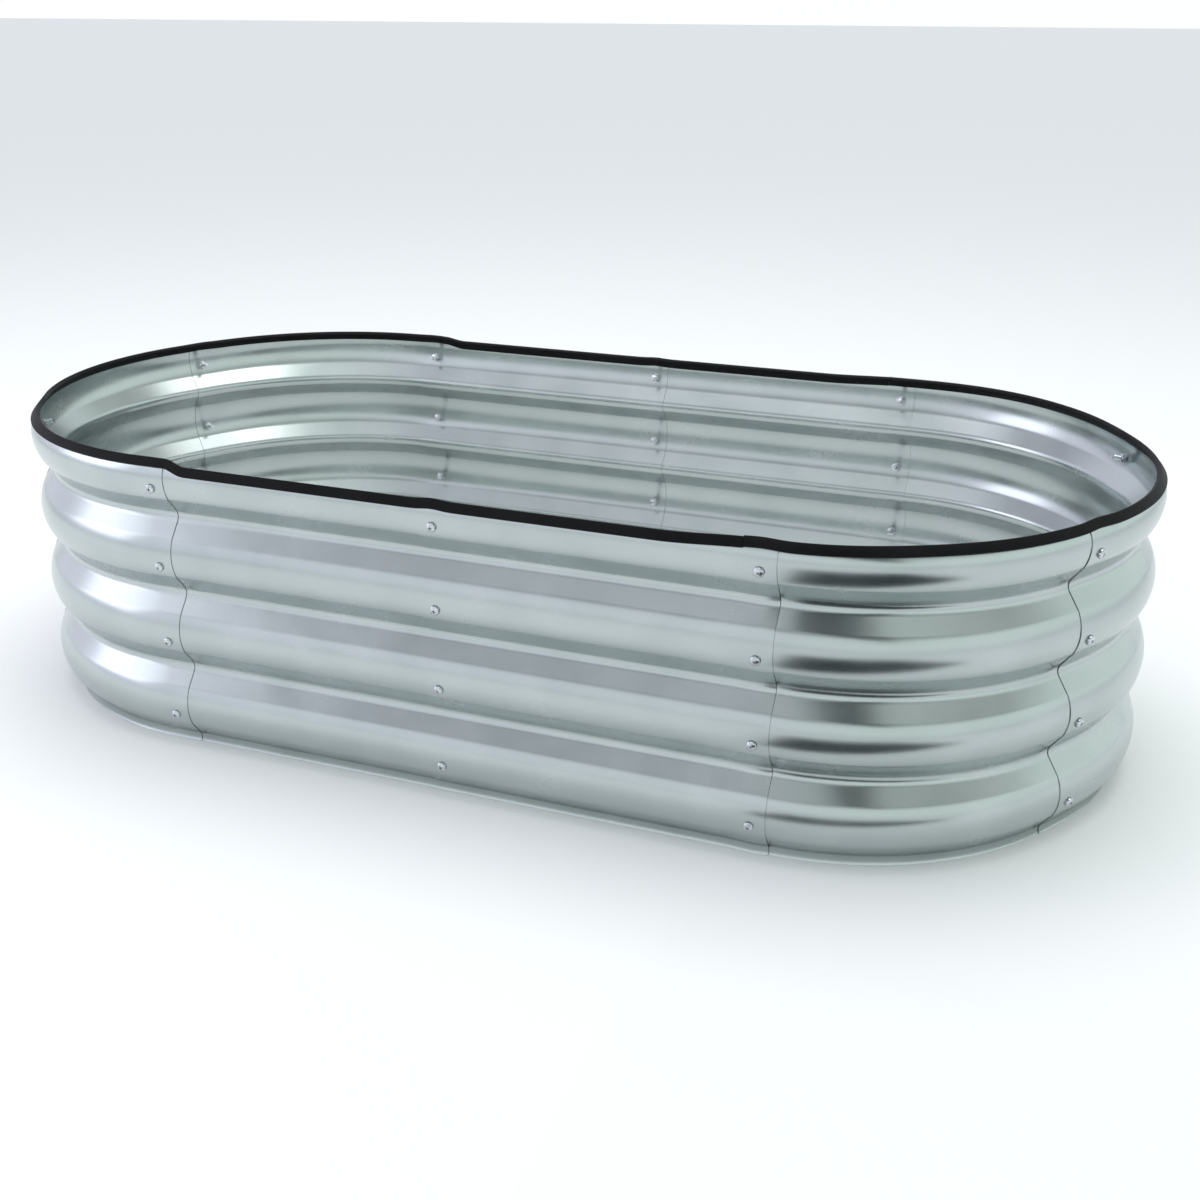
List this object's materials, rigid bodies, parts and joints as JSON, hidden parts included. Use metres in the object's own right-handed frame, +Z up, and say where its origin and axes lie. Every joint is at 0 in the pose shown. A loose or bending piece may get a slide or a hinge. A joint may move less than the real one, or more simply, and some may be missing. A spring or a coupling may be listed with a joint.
{
  "type": "corrugated steel trough",
  "caption": "Oval open-bottomed corrugated galvanised steel trough of lapped, screwed panels with a black rubber edge trim round the rim.",
  "frame": {"origin": "centre of the footprint on the ground, under the sheets' bottom edges", "axes": "+X along the length towards the right end, +Y across the width to the back, +Z up"},
  "size_m": [1.2027, 0.6001, 0.3042],
  "materials": {
    "galvanised_sheet": "satin zinc-coated steel sheet, faint rolling lines",
    "zinc_fasteners": "bright zinc-plated steel",
    "rubber_trim": "matte black extruded rubber"
  },
  "bodies": {
    "root": {"panel_front_left": "galvanised_sheet", "panel_front_right": "galvanised_sheet", "panel_right_front_corner": "galvanised_sheet", "panel_right_end": "galvanised_sheet", "panel_right_back_corner": "galvanised_sheet", "panel_back_right": "galvanised_sheet", "panel_back_left": "galvanised_sheet", "panel_left_back_corner": "galvanised_sheet", "panel_left_end": "galvanised_sheet", "panel_left_front_corner": "galvanised_sheet", "screws_front_left": "zinc_fasteners", "screws_front_middle": "zinc_fasteners", "screws_front_right": "zinc_fasteners", "screws_right_front": "zinc_fasteners", "screws_right_back": "zinc_fasteners", "screws_back_right": "zinc_fasteners", "screws_back_middle": "zinc_fasteners", "screws_back_left": "zinc_fasteners", "screws_left_back": "zinc_fasteners", "screws_left_front": "zinc_fasteners", "washers_front_left": "zinc_fasteners", "washers_front_middle": "zinc_fasteners", "washers_front_right": "zinc_fasteners", "washers_right_front": "zinc_fasteners", "washers_right_back": "zinc_fasteners", "washers_back_right": "zinc_fasteners", "washers_back_middle": "zinc_fasteners", "washers_back_left": "zinc_fasteners", "washers_left_back": "zinc_fasteners", "washers_left_front": "zinc_fasteners", "nuts_front_left": "zinc_fasteners", "nuts_front_middle": "zinc_fasteners", "nuts_front_right": "zinc_fasteners", "nuts_right_front": "zinc_fasteners", "nuts_right_back": "zinc_fasteners", "nuts_back_right": "zinc_fasteners", "nuts_back_middle": "zinc_fasteners", "nuts_back_left": "zinc_fasteners", "nuts_left_back": "zinc_fasteners", "nuts_left_front": "zinc_fasteners", "edge_trim_right": "rubber_trim", "edge_trim_left": "rubber_trim"}
  },
  "joints": []
}
